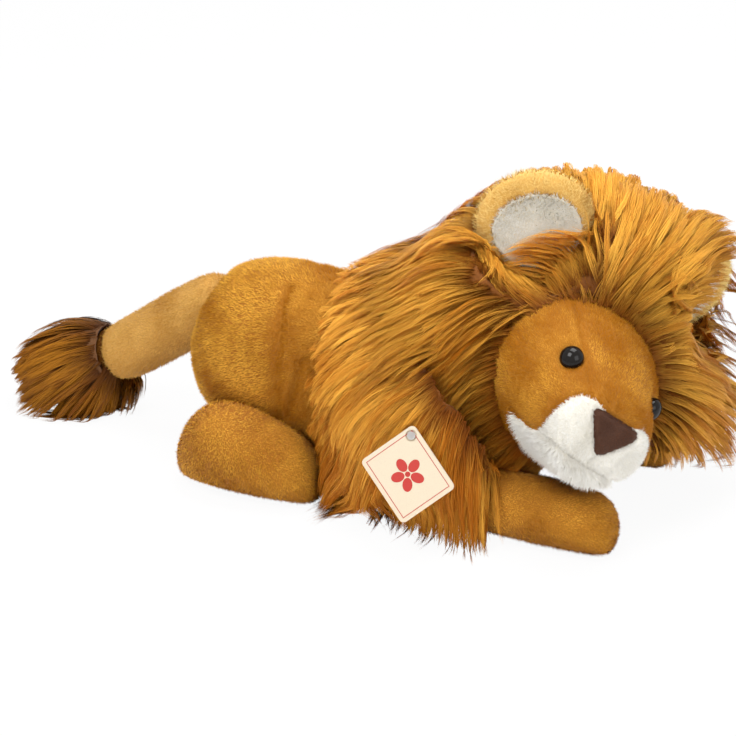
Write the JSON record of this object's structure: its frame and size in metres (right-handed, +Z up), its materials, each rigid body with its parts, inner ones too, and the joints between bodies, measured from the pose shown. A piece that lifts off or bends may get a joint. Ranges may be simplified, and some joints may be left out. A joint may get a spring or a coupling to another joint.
{
  "type": "plush lion",
  "caption": "Stuffed plush lion lying on its belly, head turned and cocked to one side, with a long shaggy mane, round ears, a tufted tail and a card hang tag.",
  "frame": {"origin": "middle of the flat patch of belly that the lion rests on", "axes": "+X from rump to chest, the way the body looks; +Y to the lion's left; +Z up"},
  "size_m": [0.4735, 0.2253, 0.2197],
  "materials": {
    "black_plastic": "polished",
    "cream_card": "matt card",
    "gold_plush": "short soft pile",
    "mane_pile": "long pile",
    "nose_plush": "short dark pile",
    "pin_plastic": "translucent",
    "stuffing": "loose polyester fibre",
    "tuft_pile": "long dark pile",
    "washer_plastic": "moulded",
    "white_plush": "short soft pile"
  },
  "bodies": {
    "torso": {"torso_skin": "gold_plush", "torso_filling": "stuffing", "mane_cape": "mane_pile", "tag_pin": "pin_plastic"},
    "head": {"head_skin": "gold_plush", "head_filling": "stuffing", "muzzle_right": "white_plush", "muzzle_left": "white_plush", "chin": "white_plush", "nose_patch": "nose_plush", "mane_hood": "mane_pile", "eye_right": "black_plastic", "eye_left": "black_plastic", "eye_washer_right": "washer_plastic", "eye_washer_left": "washer_plastic"},
    "ear_right": {"ear_right": "gold_plush", "ear_lining_right": "white_plush"},
    "ear_left": {"ear_left": "gold_plush", "ear_lining_left": "white_plush"},
    "front_leg_right": {"front_leg_right_skin": "gold_plush", "front_leg_right_filling": "stuffing"},
    "front_leg_left": {"front_leg_left_skin": "gold_plush", "front_leg_left_filling": "stuffing"},
    "hind_leg_right": {"hind_leg_right_skin": "gold_plush", "hind_leg_right_filling": "stuffing"},
    "hind_leg_left": {"hind_leg_left_skin": "gold_plush", "hind_leg_left_filling": "stuffing"},
    "tail": {"tail_skin": "gold_plush", "tail_filling": "stuffing", "tail_tuft": "tuft_pile"},
    "tag_back": {"tag_back": "cream_card"},
    "tag_cover": {"tag_cover": "cream_card"}
  },
  "joints": [
    {"name": "head_turn", "type": "hinge", "parent": "torso", "child": "head", "pos_m": [0.077, -0.016, 0.092], "axis": [0, 0, 1], "range_deg": [-8, 8], "stiffness_Nm_per_rad": 0.06},
    {"name": "ear_right_fold", "type": "hinge", "parent": "head", "child": "ear_right", "pos_m": [0.06141, -0.01601, 0.14883], "axis": [0.9308, 0.3346, 0.147], "range_deg": [0, 22], "stiffness_Nm_per_rad": 0.05},
    {"name": "ear_left_fold", "type": "hinge", "parent": "head", "child": "ear_left", "pos_m": [0.11177, 0.02625, 0.11388], "axis": [0.0844, 0.5173, -0.8517], "range_deg": [0, 22], "stiffness_Nm_per_rad": 0.05},
    {"name": "front_leg_right_swing", "type": "hinge", "parent": "torso", "child": "front_leg_right", "pos_m": [-0.019, -0.03922, 0.0205], "axis": [0, 0, -1], "range_deg": [0, 14], "stiffness_Nm_per_rad": 0.03},
    {"name": "hind_leg_right_swing", "type": "hinge", "parent": "torso", "child": "hind_leg_right", "pos_m": [-0.164, -0.0578, 0.029], "axis": [0, 0, -1], "range_deg": [0, 12], "stiffness_Nm_per_rad": 0.03},
    {"name": "front_leg_left_swing", "type": "hinge", "parent": "torso", "child": "front_leg_left", "pos_m": [-0.019, 0.02722, 0.0205], "axis": [0, 0, 1], "range_deg": [0, 14], "stiffness_Nm_per_rad": 0.03},
    {"name": "hind_leg_left_swing", "type": "hinge", "parent": "torso", "child": "hind_leg_left", "pos_m": [-0.164, 0.0578, 0.029], "axis": [0, 0, 1], "range_deg": [0, 12], "stiffness_Nm_per_rad": 0.03},
    {"name": "tail_swing", "type": "hinge", "parent": "torso", "child": "tail", "pos_m": [-0.166, 0, 0.093], "axis": [0, 0, 1], "range_deg": [-15, 15], "stiffness_Nm_per_rad": 0.02},
    {"name": "tag_swing", "type": "hinge", "parent": "torso", "child": "tag_back", "pos_m": [0.008, -0.10257, 0.074], "axis": [0.0955, -0.9085, 0.4067], "range_deg": [-25, 25]},
    {"name": "tag_open", "type": "hinge", "parent": "tag_back", "child": "tag_cover", "pos_m": [0.01169, -0.10155, 0.07731], "axis": [-0.6847, 0.2367, 0.6894], "range_deg": [0, 100]}
  ]
}
